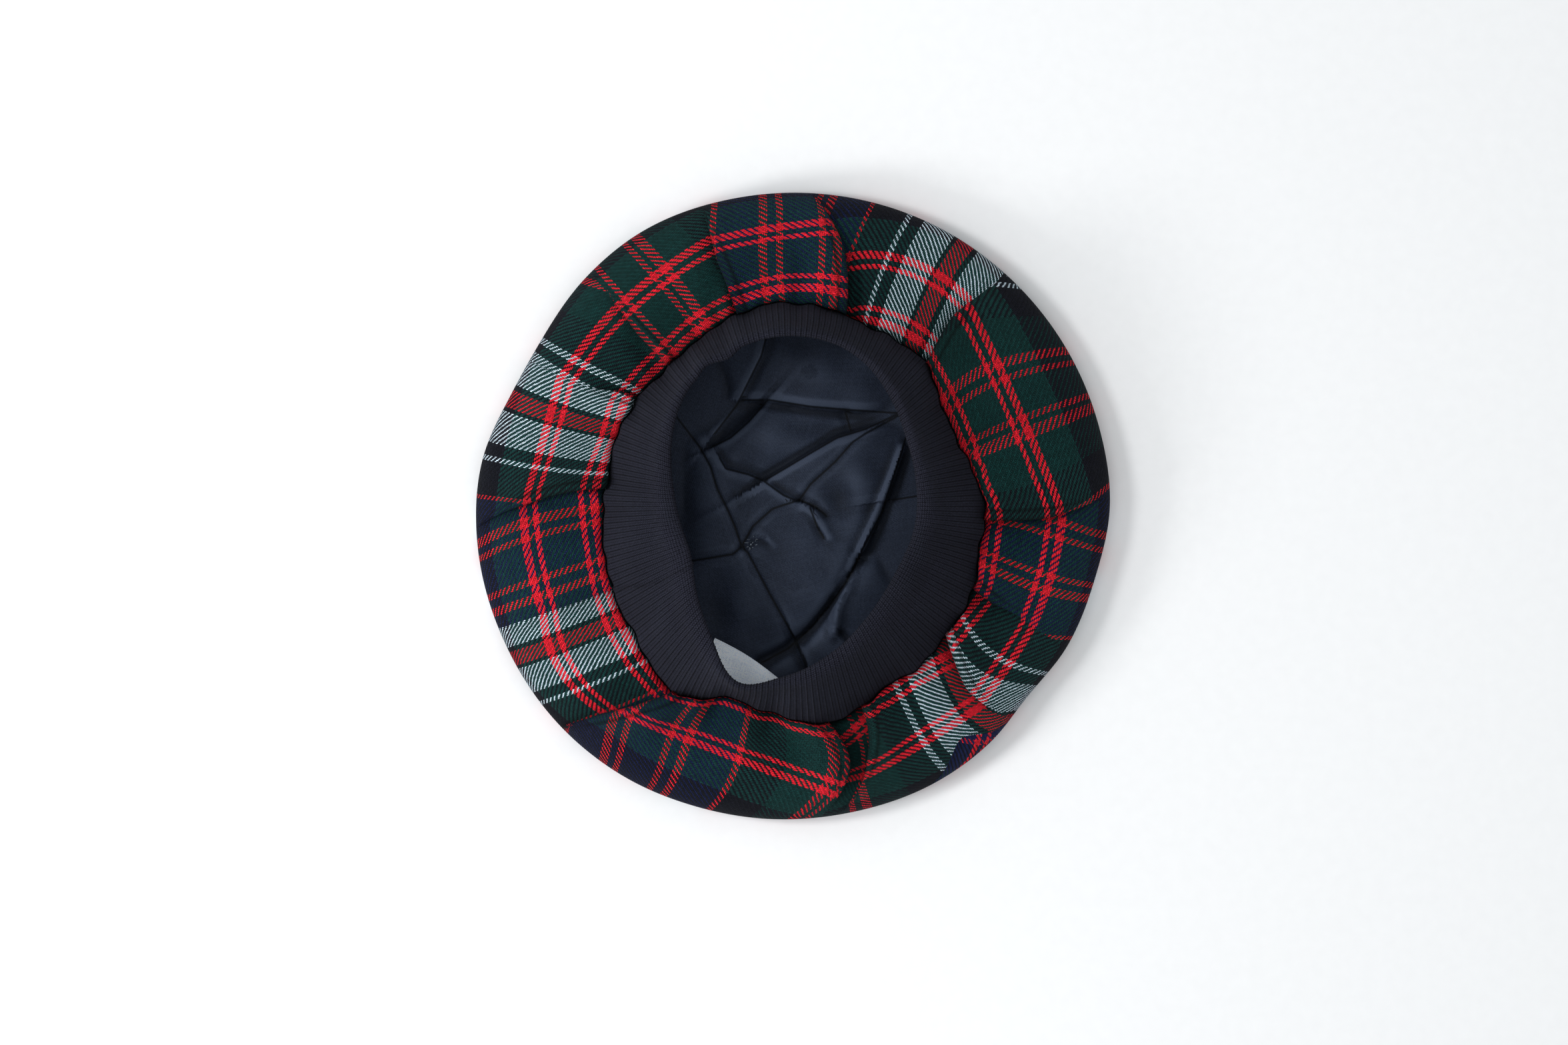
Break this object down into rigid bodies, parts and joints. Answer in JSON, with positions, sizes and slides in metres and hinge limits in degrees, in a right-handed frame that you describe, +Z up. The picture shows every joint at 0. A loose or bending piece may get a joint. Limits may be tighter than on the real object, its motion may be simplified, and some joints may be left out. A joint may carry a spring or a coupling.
{
  "type": "tam o shanter",
  "caption": "Flat round pleated tartan cap with a ribbed knit headband, a cloth lining and a blank label, lying on its crown with the mouth up.",
  "frame": {"origin": "middle of the crown's flat face, on the surface that the hat lies on", "axes": "+Z up out of the mouth, +Y along the mouth's long way, +X to the right as seen from above"},
  "size_m": [0.2854, 0.2823, 0.0704],
  "materials": {
    "tartan": "2/2 twill wool tartan, green, black and navy with red and white lines",
    "rib_knit": "black ribbed knit, slightly fuzzy",
    "lining_twill": "fine blue-black twill with a soft sheen",
    "label_satin": "blank pale satin weave"
  },
  "bodies": {
    "root": {"crown": "tartan", "underside": "tartan", "headband": "rib_knit", "lining": "lining_twill", "label": "label_satin"}
  },
  "joints": []
}
